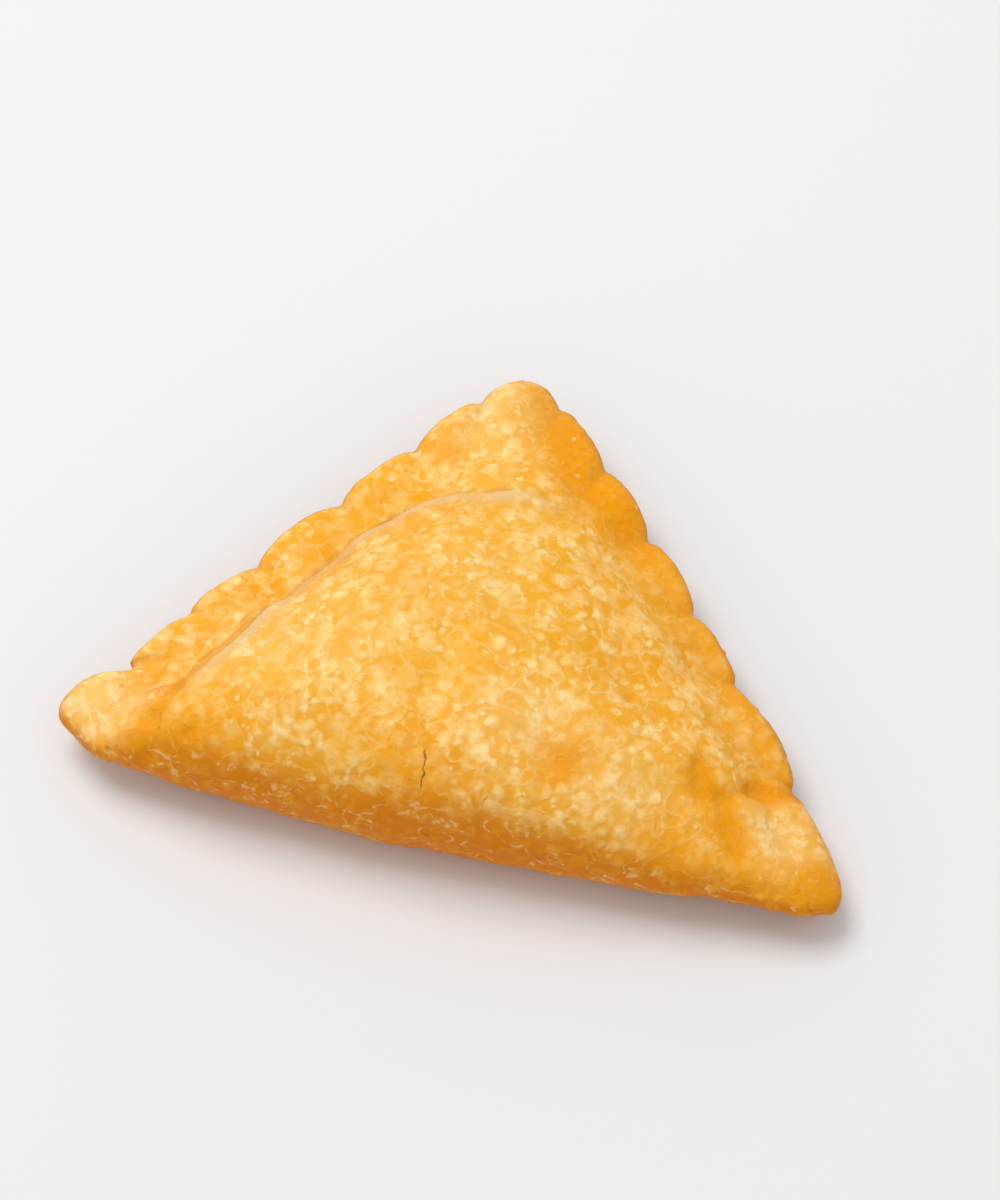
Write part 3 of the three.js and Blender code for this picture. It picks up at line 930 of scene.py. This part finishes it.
def crust_bump(tree, place, mottle, pits, crack):
    height = tree.math("MULTIPLY", mottle, 0.7)
    height = tree.math("ADD", height, tree.math("MULTIPLY", tree.noise(place, 2.2, 4.0), 0.5))
    height = tree.math("SUBTRACT", height, pits)
    height = tree.math("SUBTRACT", height, tree.math("MULTIPLY", crack, 3.0))
    bump = tree.add("Bump", {"Height": height, "Strength": 1.0, "Distance": BUMP_DEPTH})
    return bump.outputs["Normal"]


def crust_material():
    tree = Tree("fried_crust")
    place = tree.add("Attribute", attribute_name="place").outputs["Vector"]
    mottle, glints = crust_marks(tree, place)
    pits = crust_pits(tree, place)
    crack = crack_mask(tree, place)

    base = marked_crust(tree, plain_crust(tree, place), mottle)
    # painted glints and specks
    base = tree.mix(painted_glints(tree, place, glints), base, PAINTED_GLINT)
    # the seam's pale band, partly painted sheen
    seam = tree.math("MULTIPLY", tree.mask("seam"), tree.span(mottle, 0.0, 0.7, 0.95, 0.60))
    base = tree.mix(seam, base, SEAM_PALE_AND_SHEEN)
    tree.put(tree.shader, "Base Color", darkened(tree, base, pits, crack))
    tree.put(tree.shader, "Normal", crust_bump(tree, place, mottle, pits, crack))

    tree.put(tree.shader, "Roughness", tree.span(tree.noise(place, 0.9, 3.0), 0.3, 0.7, 0.34, 0.54))
    tree.put(tree.shader, "Specular IOR Level", 0.13)
    tree.put(tree.shader, "Specular Tint", (1.0, 0.78, 0.12, 1))
    tree.put(tree.shader, "Subsurface Weight", 0.25)
    tree.put(tree.shader, "Subsurface Radius", (1.0, 0.45, 0.16))
    tree.put(tree.shader, "Subsurface Scale", 0.0015)
    tree.put(tree.shader, "Coat Weight", 0.03)
    tree.put(tree.shader, "Coat Roughness", 0.22)
    return tree.material


def floor_material():
    tree = Tree("floor")
    tree.put(tree.shader, "Base Color", (0.80, 0.80, 0.80, 1))
    tree.put(tree.shader, "Roughness", 0.75)
    return tree.material


# ---- floor, light and camera ----

def make_floor():
    data = bpy.data.meshes.new("floor")
    reach = FLOOR_REACH
    corners = [(-reach, -reach, 0), (reach, -reach, 0), (reach, reach, 0), (-reach, reach, 0)]
    data.from_pydata(corners, [], [(0, 1, 2, 3)])
    floor = bpy.data.objects.new("floor", data)
    bpy.context.scene.collection.objects.link(floor)
    data.materials.append(floor_material())


def aim(thing, target):
    thing.rotation_mode = "QUATERNION"
    thing.rotation_quaternion = (thing.location - target).to_track_quat("Z", "Y")


def make_key_light(target):
    data = bpy.data.lights.new("key", "AREA")
    data.shape = "DISK"
    data.size = KEY_SIZE
    data.energy = KEY_POWER
    light = bpy.data.objects.new("key", data)
    light.location = target + KEY_FROM
    aim(light, target)
    bpy.context.scene.collection.objects.link(light)


def make_sky():
    world = bpy.data.worlds.new("studio")
    bpy.context.scene.world = world
    world.use_nodes = True
    sky = world.node_tree.nodes["Background"]
    sky.inputs["Color"].default_value = (1, 1, 1, 1)
    sky.inputs["Strength"].default_value = SKY_STRENGTH


def make_camera(target, width):
    data = bpy.data.cameras.new("camera")
    camera = bpy.data.objects.new("camera", data)
    bpy.context.scene.collection.objects.link(camera)
    data.lens = LENS / MM
    data.sensor_width = SENSOR_WIDTH / MM
    azimuth = math.radians(VIEW_AZIMUTH)
    elevation = math.radians(VIEW_ELEVATION)
    back = Vector((
        math.sin(azimuth) * math.cos(elevation),
        -math.cos(azimuth) * math.cos(elevation),
        math.sin(elevation),
    ))
    frame_width = width / FRAME_FILL
    distance = frame_width * LENS / (SENSOR_WIDTH * FRAME_ASPECT)
    camera.location = target + back * distance
    aim(camera, target)
    bpy.context.scene.camera = camera


def main():
    make_samosa()
    make_floor()
    middle = (cad_low + cad_high) / 2
    make_key_light(middle)
    make_sky()
    make_camera(middle, (cad_high - cad_low).x)
    bpy.context.scene.view_settings.view_transform = "Standard"


main()
